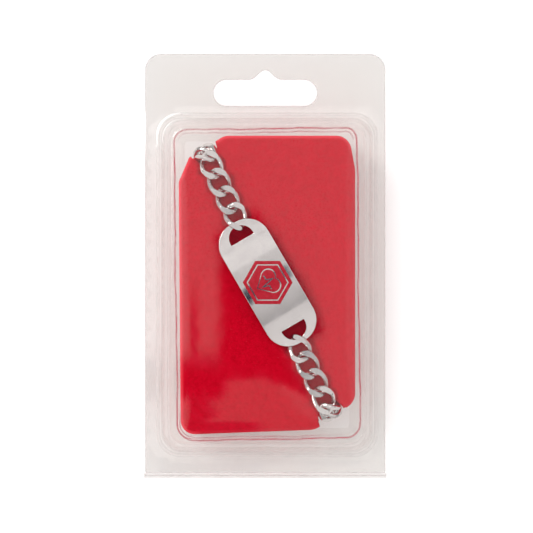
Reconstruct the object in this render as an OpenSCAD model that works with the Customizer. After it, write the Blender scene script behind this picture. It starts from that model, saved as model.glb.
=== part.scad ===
// Medical alert bracelet wrapped round a soft pad, in a clear hinged hanging pack.
// Millimetres. The pack lies on its back: +X right, +Y to the hanging end, +Z to the front.
// The origin is under the middle of the pack, at the level of its back face.

/* [Plate] */
// Length of the identification plate, tip to tip
plate_l = 40.8; // [36:0.2:45]
// Width of the plate
plate_w = 15.8; // [14.4:0.2:19]
// Thickness of the plate
plate_t = 1.2; // [1:0.05:1.3]
// Radius that the plate is bowed to along its length
plate_bow_r = 120; // [90:5:180]
// Radius of the flattened crown at each end
plate_crown_r = 16; // [12:0.5:24]
// Radius of the corners between the sides and the crowns
plate_corner_r = 7; // [5:0.2:7.2]
// Width of the rim that the chain hangs from
rim_w = 1.35; // [1.2:0.05:1.4]
// Radius of the round side of each chain slot
slot_r = 3.8; // [3.4:0.1:4.4]
// Depth of each chain slot, from its straight side to the rim
slot_depth = 4.3; // [3.8:0.1:4.6]
// Angle of the plate from the height of the pack
plate_turn = 30.2; // [24:0.2:36]
// Sideways place of the middle of the plate
plate_x = 0.7; // [-2:0.1:3]
// Place of the middle of the plate along the height of the pack
plate_y = -4.9; // [-8:0.1:-3]

/* [Badge] */
// Size of the enamelled hexagon across its flats
badge_w = 12.8; // [10:0.2:14]
// Width of the hexagon's outer band
badge_band = 1; // [0.7:0.05:1.4]
// Width of the bare steel lines in the badge
badge_line = 0.35; // [0.25:0.05:0.6]
// Depth of the enamel in the plate
badge_depth = 0.3; // [0.2:0.05:0.4]
// Width of the heart
heart_w = 7; // [5.4:0.2:7.6]
// Space left round each piece of enamel
enamel_gap = 0.03; // [0.02:0.01:0.06]

/* [Chain] */
// Distance from one link to the next
link_pitch = 5.75; // [5.55:0.05:6.1]
// Diameter of the wire
wire_d = 1.7; // [1.5:0.05:1.7]
// Width of a link, over its wire
link_w = 7.5; // [7.4:0.1:7.8]
// Thickness of a link, between its two ground faces
link_t = 3; // [2.9:0.05:3.4]
// Twist of a link from its middle to each end
link_twist = 48; // [47:0.5:50]
// Squareness of a link's outline, 2 for an ellipse
link_square = 2.4; // [2.4:0.1:2.6]
// Play between two links that are pulled tight
link_play = 0.2; // [0.15:0.05:0.3]
// Distance that a sharp bend draws two links together
bend_take_up = 0.3; // [0.28:0.02:0.4]
// Play between a rim and the link that is threaded on it
rim_play = 0.15; // [0.12:0.01:0.2]
// Roll of a link that is threaded on the plate's rim
rim_roll = 20; // [19:0.5:21]
// Roll of a link that is threaded on the clasp
clasp_roll = 9; // [8:0.5:10]
// Height of the plate's rims over the line of the chain
rim_lift = 0.5; // [0.4:0.05:0.6]
// Room under a rolled link, in the pad
roll_room = 0.4; // [0.3:0.1:0.6]
// Angle between the plate and the chain, which stands closer to the height of the pack
chain_lag = 4.4; // [3:0.1:4.6]
// Links on the back, between the pad's cut corner and the clasp
back_links = 5; // [4:1:5]

/* [Clasp] */
// Thickness of the clasp's body
clasp_t = 2.6; // [2.2:0.1:3]
// Thickness of the clasp's two rims
clasp_rim_t = 0.9; // [0.7:0.05:0.9]
// Width of the clasp's two rims
clasp_rim_w = 1.3; // [1.1:0.1:1.5]
// Width of the clasp
clasp_w = 7.8; // [7.4:0.2:9]
// Step in from the sides of the rims to the clasp's body
clasp_step = 0.5; // [0.2:0.1:1]
// Depth of the slot in each end of the clasp
clasp_slot_depth = 3.2; // [3:0.1:4]

/* [Pad] */
// Width of the pad
pad_w = 52.6; // [48:0.2:58]
// Height of the pad
pad_h = 89; // [84:0.5:96]
// Thickness of the pad
pad_t = 10; // [9.5:0.1:11]
// Radius of the pad's soft edges
pad_edge_r = 1.8; // [1:0.1:3]
// Radius of the pad's square corner at the hanging end
pad_head_r = 4.8; // [3:0.2:5]
// Radius of the pad's square corner at the folded end
pad_foot_r = 4.2; // [2.6:0.2:5]
// Radius of the corners that start each cut corner
pad_cut_r = 2.5; // [2.1:0.1:3]
// Radius of the corners beside the chain
seat_r = 1.5; // [1.2:0.1:2]
// Width of each edge that the chain turns over
seat_w = 8.4; // [7.8:0.2:9]
// Distance from the middle of the plate to the edges that the chain turns over
seat_reach = 43.8; // [42.6:0.1:45]
// Depth that the chain sinks into the pad
chain_sink = 0.35; // [0.2:0.05:0.5]
// Space between the chain and what it lies on or against
chain_gap = 0.1; // [0.05:0.05:0.2]
// Space beside the chain in its groove
groove_side = 0.4; // [0.3:0.1:0.8]
// Space between the chain and the back face, where turned links dip
dip_space = 0.45; // [0.42:0.03:0.6]

/* [Pack] */
// Thickness of the clear sheet
sheet = 0.45; // [0.3:0.05:0.6]
// Space between the pad and the foot of the blister at each side
pad_space_x = 5; // [4.5:0.1:7]
// Space between the pad and the foot of the blister at top and bottom
pad_space_y = 5.2; // [4.5:0.1:7]
// Space between the plate and the face of the blister
head_space = 0.6; // [0.5:0.1:2]
// Width of the flange at each side
flange_side = 4.7; // [3:0.1:8]
// Width of the flange at the folded end
flange_foot = 8.25; // [6:0.25:12]
// Width of the flange at the hanging end
flange_head = 19.55; // [18:0.25:26]
// Sideways offset of the blister in the flange
blister_x = 0.5; // [0:0.1:0.8]
// Radius of the flange's corners at the hanging end
flange_r = 4.8; // [2:0.2:8]
// Radius of the blister's corners at its foot
blister_r = 6; // [5:0.2:9]
// Slope of the blister's walls
draft = 12; // [7:0.5:13]
// Radius round the edge of each face
face_edge_r = 1.9; // [1.2:0.1:2.4]
// Width of the ledge round the blister
ledge_w = 1.9; // [1.8:0.1:2.4]
// Height of the ledge
ledge_h = 1.2; // [0.8:0.1:1.6]
// Depth of the back half, from its face to the joint
back_d = 5.7; // [5.2:0.1:7]
// Space between the two halves where they meet
lid_gap = 0.1; // [0.05:0.05:0.2]
// Space between the sides of the two nested ledges
ledge_gap = 0.15; // [0.1:0.05:0.25]
// Inset of the back half's walls from the front half's
bowl_inset = 0.15; // [0.05:0.05:0.3]
// Diameter of the folded hinge bead
bead_d = 1.5; // [1.3:0.1:2]
// Length that the hinge bead stands out at each end
bead_over = 0.3; // [0:0.1:0.6]

/* [Hanging slot] */
// Width of the slot
hang_w = 31; // [26:0.5:34]
// Height of the slot's ends
hang_h = 7.8; // [6:0.2:9]
// Height of the bump over the slot
hang_bump = 2.9; // [2.2:0.1:4]
// Radius of the top of the bump
hang_bump_r = 2.1; // [1.6:0.1:2.2]
// Width of the foot of the bump
hang_foot_w = 8; // [6:0.2:10]
// Radius where the bump meets the slot
hang_fillet_r = 1.2; // [0.6:0.1:1.6]
// Distance from the flange's top edge to the top of the slot
hang_drop = 7.8; // [6.5:0.1:10]

/* [Hidden] */
front_links = 3;
wrap_links = 4;
half_links = front_links + wrap_links + back_links;
link_count = 2 * half_links;
function two_digits(i) = str(i < 10 ? "0" : "", i);
function link_name(i) = str("link_", two_digits(i));
$fn = 64;
steel = [0.8, 0.8, 0.81];
enamel = [0.78, 0.05, 0.12];
foam = [0.76, 0.06, 0.16];
clear_sheet = [0.9, 0.93, 0.95, 0.35];

// Outline of the pack
blister_w = pad_w + 2 * pad_space_x;
blister_h = pad_h + 2 * pad_space_y;
pack_w = blister_w + 2 * flange_side;
pack_h = blister_h + flange_foot + flange_head;
blister_y = (flange_foot - flange_head) / 2;
fold_y = bead_d / 2 - pack_h / 2;
foot_corner_r = 0.3;
corner_steps = 8;

// Levels from the back face to the front face
back_run_z = sheet + dip_space + link_t / 2;
pad_back_z = back_run_z + link_t / 2 + chain_gap - chain_sink;
pad_front_z = pad_back_z + pad_t;
front_run_z = pad_front_z - chain_sink + chain_gap + link_t / 2;
rim_reach = plate_l / 2 - rim_w;
slot_y = rim_reach - slot_r;
chain_turn = plate_turn - chain_lag;
chain_start = slot_y * cos(chain_lag) + sqrt(slot_r * slot_r - pow(slot_y * sin(chain_lag), 2));
bow_rise = pow(rim_reach + rim_w / 2, 2) / (2 * plate_bow_r);
crown_z = front_run_z + rim_lift + bow_rise + plate_t / 2;
pack_d = crown_z + head_space + sheet;
fold_z = back_d + lid_gap / 2;

// Half of the bracelet from the plate to the clasp, as hinge points in its upright plane.
// Four links turn over the pad's edge; their tilts share the bend equally.
link_a = (link_pitch + wire_d + link_play) / 2;
link_b = (link_w - wire_d) / 2;
drop = front_run_z - back_run_z;
function wrap_tilts(steep) = [3 * steep - 180, steep, 180 - steep, 360 - 3 * steep];
sharp_bend = 50;
function take_up(bend) = bend_take_up / 2 * bend / sharp_bend;
function wrap_drop(steep) =
    2 * (link_pitch - take_up(3 * steep - 180) - take_up(180 - 2 * steep)) * sin(3 * steep - 180)
    + 2 * (link_pitch - 2 * take_up(180 - 2 * steep)) * sin(steep);
function steep_for(lo, hi, n = 24) =
    n == 0 ? (lo + hi) / 2
    : wrap_drop((lo + hi) / 2) < drop ? steep_for((lo + hi) / 2, hi, n - 1)
    : steep_for(lo, (lo + hi) / 2, n - 1);
least_steep = 60;
most_steep = 84;
steep = steep_for(least_steep, most_steep);
first_tilt = asin(rim_lift / link_pitch);
tilts = concat([first_tilt], [for (i = [2 : front_links]) 0], wrap_tilts(steep),
               [for (i = [1 : back_links]) 180]);
rolls = [for (i = [0 : half_links - 1])
    i == 0 ? rim_roll : i == half_links - 1 ? -clasp_roll : 0];
function bend_before(i) = i == 0 || i == half_links ? 0 : abs(tilts[i] - tilts[i - 1]);
function reach(i) = link_pitch - take_up(bend_before(i)) - take_up(bend_before(i + 1));
function run_dir(tilt) = [cos(tilt), -sin(tilt)];
function hinge(i) = i == 0 ? [chain_start - rim_play, front_run_z + rim_lift]
                  : hinge(i - 1) + reach(i - 1) * run_dir(tilts[i - 1]);
function link_middle(i) =
    hinge(i) + (link_pitch / 2 - take_up(bend_before(i))) * run_dir(tilts[i]);
clasp_span = 2 * (hinge(half_links)[0] + rim_play);

// Places in the bracelet's plane, turned to the pack
module on_chain(side) {
    translate([plate_x, plate_y, 0]) rotate(90 + chain_turn + 180 * side) children();
}
function chain_place(s, y, side) =
    let (turn = 90 + chain_turn + 180 * side)
    [plate_x + s * cos(turn) - y * sin(turn), plate_y + s * sin(turn) + y * cos(turn)];

// One link: a loop of wire, twisted about its length and ground flat on both faces
link_segments = 16;
wire_sides = 6;
function power(x, p) = sign(x) * pow(abs(x), p);
function link_line(t) =
    let (x = link_a * power(cos(t), 2 / link_square),
         y = link_b * power(sin(t), 2 / link_square),
         turn = -link_twist * x / link_a)
    [x, y * cos(turn), y * sin(turn)];
function unit(v) = v / norm(v);
function wire_ring(t) =
    let (middle = link_line(t),
         along = unit(link_line(t + 0.1) - link_line(t - 0.1)),
         across = unit(cross(along, unit(middle))),
         outward = cross(across, along))
    [for (k = [0 : wire_sides - 1])
        let (turn = 360 * (k + 0.5) / wire_sides,
             p = middle + wire_d / 2 * (cos(turn) * outward + sin(turn) * across))
        [p[0], p[1], max(-link_t / 2, min(link_t / 2, p[2]))]];
function ring_faces(n, m) =
    [for (i = [0 : n - 1]) for (k = [0 : m - 1])
        let (j = (i + 1) % n, l = (k + 1) % m)
        each [[i * m + k, j * m + l, i * m + l], [i * m + k, j * m + k, j * m + l]]];
link_points = [for (i = [0 : link_segments - 1])
    each wire_ring(360 * (i + 0.5) / link_segments)];

// Sections of the clear halves. Each is a rectangle with round corners:
// [left, right, foot, head, corner radius at the foot, corner radius at the head, level]
function blister_row(inset, r, z) =
    [blister_x - blister_w / 2 + inset, blister_x + blister_w / 2 - inset,
     blister_y - blister_h / 2 + inset, blister_y + blister_h / 2 - inset, r, r, z];
function flange_row(foot_y, z) = [-pack_w / 2, pack_w / 2, foot_y, pack_h / 2, foot_corner_r, flange_r, z];
function corner(x, y, r, start, z) =
    [for (i = [0 : corner_steps]) let (t = start + 90 * i / corner_steps)
        [x + r * cos(t), y + r * sin(t), z]];
function section(row) =
    let (x0 = row[0], x1 = row[1], y0 = row[2], y1 = row[3], f = row[4], h = row[5], z = row[6])
    concat(corner(x1 - h, y1 - h, h, 0, z), corner(x0 + h, y1 - h, h, 90, z),
           corner(x0 + f, y0 + f, f, 180, z), corner(x1 - f, y0 + f, f, 270, z));
corner_loss = 0.55;
function face_r(inset) = blister_r - corner_loss * inset;
// Rows up a wall that leans in from inset and z to a face at level top, rounded at its edge
function wall_rows(inset, z, top, edge_r) =
    let (up = top > z ? 1 : -1,
         lean = (abs(top - z) - edge_r) * tan(draft))
    concat([[inset, z]],
           [for (t = [0 : 30 : 90])
               [inset + lean + edge_r * (1 - cos(t)), top - up * edge_r * (1 - sin(t))]]);
function rows(list) = [for (p = list) blister_row(p[0], face_r(p[0]), p[1])];
function reversed(list) = [for (i = [len(list) - 1 : -1 : 0]) list[i]];

// A closed solid through rows of equal points, with a flat cap at its first and last row
module loft(all_rows) {
    n = 4 * (corner_steps + 1);
    last = len(all_rows) - 1;
    polyhedron(
        points = [for (row = all_rows) each section(row)],
        faces = concat([[for (k = [0 : n - 1]) k]],
            [for (i = [0 : last - 1]) for (k = [0 : n - 1])
                let (l = (k + 1) % n)
                each [[i * n + k, (i + 1) * n + l, i * n + l],
                      [i * n + k, (i + 1) * n + k, (i + 1) * n + l]]],
            [[for (k = [n - 1 : -1 : 0]) last * n + k]]));
}

module hanging_slot() {
    hang_y = pack_h / 2 - hang_drop - hang_h / 2;
    bump_y = hang_h / 2 + hang_bump - hang_bump_r;
    slope_r = 0.9 * hang_bump_r;
    translate([0, hang_y, -1]) linear_extrude(pack_d)
        offset(r = -hang_fillet_r) offset(r = hang_fillet_r) {
            square([hang_w - hang_h, hang_h], center = true);
            for (x = [-1, 1]) translate([x * (hang_w - hang_h) / 2, 0]) circle(d = hang_h);
            translate([0, bump_y]) circle(hang_bump_r);
            polygon([[-hang_foot_w / 2, 0], [hang_foot_w / 2, 0], [hang_foot_w / 2, hang_h / 2],
                     [slope_r, bump_y + hang_bump_r - slope_r],
                     [-slope_r, bump_y + hang_bump_r - slope_r], [-hang_foot_w / 2, hang_h / 2]]);
        }
}

module back_shell() {
    lip_out = sheet + ledge_gap - ledge_w;
    lip_in = lip_out + sheet;
    top = back_d + ledge_h;
    foot_y = fold_y + bead_d / 4;
    outer = concat(reversed(wall_rows(bowl_inset - sheet, top - sheet, 0, face_edge_r)),
                   [[lip_in, top - sheet], [lip_in, back_d - sheet]]);
    inner = concat([[lip_out, back_d], [lip_out, top]],
                   wall_rows(bowl_inset, top, sheet, face_edge_r - sheet));
    color(clear_sheet) difference() {
        union() {
            loft(concat(rows(outer), [flange_row(foot_y, back_d - sheet), flange_row(foot_y, back_d)],
                        rows(inner)));
            fold_bead();
        }
        hanging_slot();
    }
}

// The two halves are one sheet, folded over in a hollow bead
module fold_bead() {
    translate([-pack_w / 2 - bead_over, fold_y, fold_z]) rotate([90, 0, 90])
        linear_extrude(pack_w + 2 * bead_over) difference() {
            circle(d = bead_d);
            circle(d = bead_d - 2 * sheet);
        }
}

module front_shell() {
    foot = back_d + lid_gap;
    top = foot + ledge_h;
    outer = concat([[-ledge_w, foot + sheet], [-ledge_w, top + sheet]],
                   wall_rows(0, top + sheet, pack_d, face_edge_r));
    inner = concat([[sheet - ledge_w, foot], [sheet - ledge_w, top]],
                   wall_rows(sheet, top, pack_d - sheet, face_edge_r - sheet));
    foot_y = fold_y + bead_d / 2 + lid_gap;
    color(clear_sheet) difference() {
        loft(concat(rows(reversed(inner)),
                    [flange_row(foot_y, foot), flange_row(foot_y, foot + sheet)], rows(outer)));
        hanging_slot();
    }
}

// Corners of the pad: [x, y, radius]. The four seat corners stand beside the chain.
function pad_corner(x_share, y_share, r) =
    [blister_x + x_share * (pad_w / 2 - r), blister_y + y_share * (pad_h / 2 - r), r];
function seat_corner(side) = concat(chain_place(seat_reach - seat_r, seat_w / 2, side), [seat_r]);
pad_corners = [
    pad_corner(-1, 0.72, pad_cut_r),
    seat_corner(0),
    pad_corner(-0.5, 1, pad_cut_r),
    pad_corner(1, 1, pad_head_r),
    pad_corner(1, -0.8, pad_cut_r),
    seat_corner(1),
    pad_corner(0.57, -0.97, pad_cut_r),
    pad_corner(-0.975, -1, pad_foot_r)
];

module pad() {
    color(foam) difference() {
        hull() for (c = pad_corners)
            translate([c[0], c[1], pad_back_z]) pad_post(c[2]);
        for (side = [0, 1]) on_chain(side) chain_groove();
    }
}

// A round post with soft edges, at one corner of the pad
module pad_post(r) {
    $fn = 32;
    edge = min(pad_edge_r, pad_t / 2);
    rotate_extrude() polygon(concat([[0, 0]],
        [for (t = [0 : 30 : 90]) [max(0, r - edge * (1 - sin(t))), edge * (1 - cos(t))]],
        [for (t = [90 : -30 : 0]) [max(0, r - edge * (1 - sin(t))), pad_t - edge * (1 - cos(t))]],
        [[0, pad_t]]));
}

// What half of the chain presses into the pad: all that lies outside the inner side of its loop,
// with more room where a link is rolled
module chain_groove() {
    depth = link_t / 2 + chain_gap;
    wrap = [for (i = [front_links : front_links + wrap_links])
        let (half = bend_before(i) / 2, mid = tilts[i] - half)
        hinge(i) + depth / cos(half) * [-sin(mid), -cos(mid)]];
    front = front_run_z - depth;
    back = back_run_z + depth;
    start = chain_start - link_a;
    rolled = chain_start + link_a;
    clasp_end = clasp_span / 2 + link_a + wire_d;
    far = seat_reach + link_w;
    rotate([90, 0, 0]) linear_extrude(link_w + 2 * groove_side, center = true)
        polygon(concat([[start, pack_d], [start, front - roll_room],
                        [rolled, front - roll_room], [rolled + roll_room, front]], wrap,
                       [[clasp_end + roll_room, back], [clasp_end, back + roll_room],
                        [-1, back + roll_room], [-1, -1], [far, -1], [far, pack_d]]));
}

// Outline of the plate: straight sides, round corners and a flatter crown at each end
module plate_outline() {
    crown_y = plate_l / 2 - plate_crown_r;
    corner_x = plate_w / 2 - plate_corner_r;
    lean = plate_crown_r - plate_corner_r;
    rise = sqrt(lean * lean - corner_x * corner_x);
    corner_y = crown_y + rise;
    square([plate_w, 2 * corner_y], center = true);
    for (end = [-1, 1]) scale([1, end]) {
        for (x = [-1, 1]) translate([x * corner_x, corner_y]) circle(plate_corner_r);
        intersection() {
            translate([0, crown_y]) circle(plate_crown_r, $fn = 180);
            polygon([[0, crown_y - 1], [2 * corner_x, crown_y + 2 * rise],
                     [-2 * corner_x, crown_y + 2 * rise]]);
        }
    }
}

module chain_slots() {
    for (end = [-1, 1]) scale([1, end]) intersection() {
        translate([0, slot_y]) circle(slot_r);
        translate([-slot_r, rim_reach - slot_depth]) square([2 * slot_r, slot_depth]);
    }
}

// A slice of the plate's bow, between two depths under its face
module bowed(depth_0, depth_1, over = 0) {
    outer_r = plate_bow_r + plate_t / 2;
    translate([0, 0, crown_z - outer_r]) rotate([0, 90, 0]) difference() {
        cylinder(r = outer_r - depth_0 + over, h = plate_l, center = true, $fn = 360);
        cylinder(r = outer_r - depth_1, h = plate_l + 1, center = true, $fn = 360);
    }
}

module on_plate() {
    translate([plate_x, plate_y, 0]) rotate(plate_turn) children();
}

module id_plate() {
    color(steel) on_plate() difference() {
        intersection() {
            linear_extrude(pack_d) difference() {
                plate_outline();
                chain_slots();
            }
            bowed(0, plate_t);
        }
        enamel_layer(1) ring_outline(enamel_gap);
        enamel_layer(1) field_outline(enamel_gap);
        heart_layer(1, enamel_gap);
    }
}

// Enamel lies in the plate's face; over is 1 for the pocket that it lies in
module enamel_layer(over = 0) {
    intersection() {
        linear_extrude(pack_d) children();
        bowed(over == 0 ? enamel_gap / 2 : 0, badge_depth + over * enamel_gap, over);
    }
}

function hexagon_r(flats) = flats / sqrt(3);
module hexagon(flats) {
    rotate(90) circle(hexagon_r(flats), $fn = 6);
}

module ring_outline(grow = 0) {
    difference() {
        hexagon(badge_w + 2 * grow);
        hexagon(badge_w - 2 * badge_band - 2 * grow);
    }
}

module field_outline(grow = 0) {
    difference() {
        hexagon(badge_w - 2 * badge_band - 2 * badge_line + 2 * grow);
        heart(heart_w + 2 * badge_line - 2 * grow);
    }
}

// The heart's enamel, round a pulse line of bare steel
module heart_layer(over = 0, grow = 0) {
    difference() {
        enamel_layer(over) heart(heart_w + 2 * grow);
        linear_extrude(pack_d) pulse(grow);
    }
}

// A heart that stands across the plate: two round lobes and the point under them
module heart(w) {
    r = w / (2 + sqrt(2));
    lobe_x = r / sqrt(2);
    lobe_y = 0.5 * r;
    rotate(-90) {
        for (x = [-lobe_x, lobe_x]) translate([x, lobe_y]) circle(r);
        polygon([[0, lobe_y - lobe_x - r * sqrt(2)], [2 * lobe_x, lobe_y - lobe_x],
                 [lobe_x, lobe_y], [-lobe_x, lobe_y], [-2 * lobe_x, lobe_y - lobe_x]]);
    }
}

// A pulse line across the heart, drawn in by inset: straight strokes with mitred corners
module pulse(inset) {
    reach = heart_w * 0.34;
    high = heart_w * 0.25;
    w = badge_line - 2 * inset;
    line = [[inset - reach, 0], [-0.4 * reach, 0], [-0.12 * reach, high], [0.2 * reach, -high],
            [0.45 * reach, 0], [reach - inset, 0]];
    last = len(line) - 1;
    side = [for (i = [0 : last])
        let (before = unit(line[max(i, 1)] - line[max(i, 1) - 1]),
             after = unit(line[min(i, last - 1) + 1] - line[min(i, last - 1)]),
             mitre = unit(before + after))
        w / 2 / (mitre * before) * [-mitre[1], mitre[0]]];
    rotate(-90) polygon(concat([for (i = [0 : last]) line[i] + side[i]],
                               [for (i = [last : -1 : 0]) line[i] - side[i]]));
}

module badge_ring() {
    color(enamel) on_plate() enamel_layer() ring_outline();
}

module badge_field() {
    color(enamel) on_plate() enamel_layer() field_outline();
}

module badge_heart() {
    color(enamel) on_plate() heart_layer();
}

// The clasp closes the loop behind the pad: a folded bar with a slot in each end
module clasp() {
    body_l = clasp_span - 2 * clasp_slot_depth;
    color(steel) on_chain(0) translate([0, 0, back_run_z]) {
        translate([0, 0, -clasp_rim_t / 2]) linear_extrude(clasp_rim_t) difference() {
            clasp_outline();
            for (end = [-1, 1]) scale([end, 1]) clasp_slot();
        }
        translate([0, 0, -clasp_t / 2]) linear_extrude(clasp_t)
            square([body_l, clasp_w - 2 * clasp_step], center = true);
    }
}

module clasp_outline() {
    round_x = clasp_span / 2 + clasp_rim_w - clasp_w / 2;
    square([2 * round_x, clasp_w], center = true);
    for (x = [-round_x, round_x]) translate([x, 0]) circle(d = clasp_w);
}

module clasp_slot() {
    inner_r = clasp_w / 2 - clasp_rim_w;
    intersection() {
        union() {
            translate([clasp_span / 2 - inner_r, 0]) circle(inner_r);
            translate([0, -inner_r]) square([clasp_span / 2 - inner_r, 2 * inner_r]);
        }
        translate([clasp_span / 2 - clasp_slot_depth, -clasp_w]) square(2 * clasp_w);
    }
}

// Link number i: the first half of the chain is at the hanging end, counted from the plate
module chain_link(i) {
    side = i > half_links ? 1 : 0;
    k = i - 1 - side * half_links;
    place = link_middle(k);
    color(steel) on_chain(side) translate([place[0], 0, place[1]])
        rotate([0, tilts[k], 0]) rotate([rolls[k], 0, 0])
            polyhedron(points = link_points, faces = ring_faces(link_segments, wire_sides));
}

back_shell();
front_shell();
pad();
id_plate();
badge_ring();
badge_field();
badge_heart();
clasp();
for (i = [1 : link_count]) chain_link(i);
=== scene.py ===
import math

import bmesh
import bpy
import numpy as np
from mathutils import Matrix, Vector
from mathutils.geometry import delaunay_2d_cdt


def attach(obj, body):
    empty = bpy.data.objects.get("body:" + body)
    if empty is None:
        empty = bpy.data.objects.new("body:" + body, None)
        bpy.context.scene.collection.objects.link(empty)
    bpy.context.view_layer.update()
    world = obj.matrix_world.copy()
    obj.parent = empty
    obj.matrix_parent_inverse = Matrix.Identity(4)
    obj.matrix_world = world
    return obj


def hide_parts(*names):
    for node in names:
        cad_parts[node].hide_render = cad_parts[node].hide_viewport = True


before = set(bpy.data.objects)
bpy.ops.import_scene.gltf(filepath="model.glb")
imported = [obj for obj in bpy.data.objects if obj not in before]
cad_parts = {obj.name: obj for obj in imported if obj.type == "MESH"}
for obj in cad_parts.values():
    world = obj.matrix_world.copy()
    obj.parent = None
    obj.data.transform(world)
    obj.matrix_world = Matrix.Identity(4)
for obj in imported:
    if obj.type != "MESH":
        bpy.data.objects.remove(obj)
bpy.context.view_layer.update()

# ---------------------------------------------------------------- sizes, in mm and degrees
# They are the ones of the part's source. The script turns them to metres as it makes each mesh.
MM = 0.001
PLATE_L, PLATE_W, PLATE_T = 40.8, 15.8, 1.2
PLATE_BOW_R, CROWN_R, CORNER_R = 120.0, 16.0, 7.0
RIM_W, SLOT_R, SLOT_DEPTH = 1.35, 3.8, 4.3
PLATE_TURN, PLATE_X, PLATE_Y = 30.2, 0.7, -4.9
BADGE_W, BADGE_BAND, BADGE_LINE, BADGE_DEPTH = 12.8, 1.0, 0.35, 0.3
HEART_W, ENAMEL_GAP = 7.0, 0.03
PITCH, WIRE_D, LINK_W, LINK_T = 5.75, 1.7, 7.5, 3.0
LINK_TWIST, LINK_SQUARE, LINK_PLAY, TAKE_UP, SHARP_BEND = 48.0, 2.4, 0.2, 0.3, 50.0
RIM_PLAY, RIM_ROLL, CLASP_ROLL, RIM_LIFT, ROLL_ROOM, CHAIN_LAG = 0.15, 20.0, 9.0, 0.5, 0.4, 4.4
FRONT_LINKS, WRAP_LINKS, BACK_LINKS = 3, 4, 5
CLASP_T, CLASP_RIM_T, CLASP_RIM_W, CLASP_W, CLASP_SLOT = 2.6, 0.9, 1.3, 7.8, 3.2
PAD_W, PAD_H, PAD_T, PAD_EDGE_R = 52.6, 89.0, 10.0, 1.8
PAD_FOOT_R, PAD_CUT_R, SEAT_R, SEAT_W, SEAT_REACH = 4.2, 2.5, 1.5, 8.4, 43.8
CHAIN_SINK, CHAIN_GAP, DIP_SPACE = 0.35, 0.1, 0.45
SHEET, PAD_SPACE_X, PAD_SPACE_Y, HEAD_SPACE = 0.45, 5.0, 5.2, 0.6
FLANGE_SIDE, FLANGE_FOOT, FLANGE_HEAD, BLISTER_X = 4.7, 8.25, 19.55, 0.5
FLANGE_R, FOOT_CORNER_R, BLISTER_R, DRAFT, FACE_EDGE_R = 4.8, 0.3, 6.0, 12.0, 1.9
LEDGE_W, LEDGE_H, BACK_D, LID_GAP, LEDGE_GAP, BOWL_INSET = 1.9, 1.2, 5.7, 0.1, 0.15, 0.15
BEAD_D, BEAD_OVER = 1.5, 0.3
HANG_W, HANG_H, HANG_BUMP, HANG_BUMP_R, HANG_FOOT_W, HANG_DROP = 31.0, 7.8, 2.9, 2.1, 8.0, 7.8
CORNER_LOSS = 0.55

BLISTER_W, BLISTER_H = PAD_W + 2 * PAD_SPACE_X, PAD_H + 2 * PAD_SPACE_Y
PACK_W, PACK_H = BLISTER_W + 2 * FLANGE_SIDE, BLISTER_H + FLANGE_FOOT + FLANGE_HEAD
BLISTER_Y = (FLANGE_FOOT - FLANGE_HEAD) / 2
FOLD_Y, FOLD_Z = BEAD_D / 2 - PACK_H / 2, BACK_D + LID_GAP / 2
BACK_RUN_Z = SHEET + DIP_SPACE + LINK_T / 2
PAD_BACK_Z = BACK_RUN_Z + LINK_T / 2 + CHAIN_GAP - CHAIN_SINK
PAD_FRONT_Z = PAD_BACK_Z + PAD_T
FRONT_RUN_Z = PAD_FRONT_Z - CHAIN_SINK + CHAIN_GAP + LINK_T / 2
RIM_REACH = PLATE_L / 2 - RIM_W
SLOT_Y = RIM_REACH - SLOT_R
CHAIN_TURN = PLATE_TURN - CHAIN_LAG
CROWN_Z = FRONT_RUN_Z + RIM_LIFT + (RIM_REACH + RIM_W / 2) ** 2 / (2 * PLATE_BOW_R) + PLATE_T / 2
PACK_D = CROWN_Z + HEAD_SPACE + SHEET


def sin(degrees):
    return math.sin(math.radians(degrees))


def cos(degrees):
    return math.cos(math.radians(degrees))


def turned(points, degrees):
    c, s = cos(degrees), sin(degrees)
    return np.asarray(points, float) @ np.array([[c, s], [-s, c]])


def arc(x, y, r, start, end, steps):
    t = np.radians(np.linspace(start, end, steps + 1))
    return np.stack([x + r * np.cos(t), y + r * np.sin(t)], 1)


def unit(rows):
    return rows / np.linalg.norm(rows, axis=1)[:, None]


def left_of(rows):
    return np.stack([-rows[:, 1], rows[:, 0]], 1)


def smooth(t):
    """Eases a share from 0 to 1."""
    t = np.clip(t, 0, 1)
    return t * t * (3 - 2 * t)


def soft_step(value, edge, soft):
    """From 0 below the edge to 1 above it, over a soft width."""
    return smooth((value - edge) / soft + 0.5)


def soft_drop(value, edge, soft):
    return 1 - soft_step(value, edge, soft)


# ---------------------------------------------------------------- mesh helpers
HARD_FOLD, LINK_FOLD, SHEET_FOLD, ALL_SMOOTH = 50, 22, 30, 0  # an edge that folds more stays sharp


def add_object(name, data):
    obj = bpy.data.objects.new(name, data)
    bpy.context.scene.collection.objects.link(obj)
    return obj


def add_mark(mesh, name, values):
    """A number at each point, for a material to read."""
    mesh.attributes.new(name, "FLOAT", "POINT").data.foreach_set("value", np.asarray(values, np.float32))


def piece(name, verts, faces, material, angle, body, replaces, marks=None):
    """A mesh object from points in mm, with smooth faces and sharp edges over an angle."""
    mesh = bpy.data.meshes.new(name)
    points = [tuple(v) for v in np.asarray(verts, float) * MM]
    mesh.from_pydata(points, [], [tuple(map(int, f)) for f in faces])
    mesh.validate()
    mesh.shade_smooth()
    if angle:
        mesh.set_sharp_from_angle(angle=math.radians(angle))
    mesh.materials.append(material)
    for mark, values in (marks or {}).items():
        add_mark(mesh, mark, values)
    obj = add_object(name, mesh)
    finish_piece(obj, body, replaces)
    return obj


def finish_piece(obj, body, replaces):
    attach(obj, body)
    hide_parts(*replaces)


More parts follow.
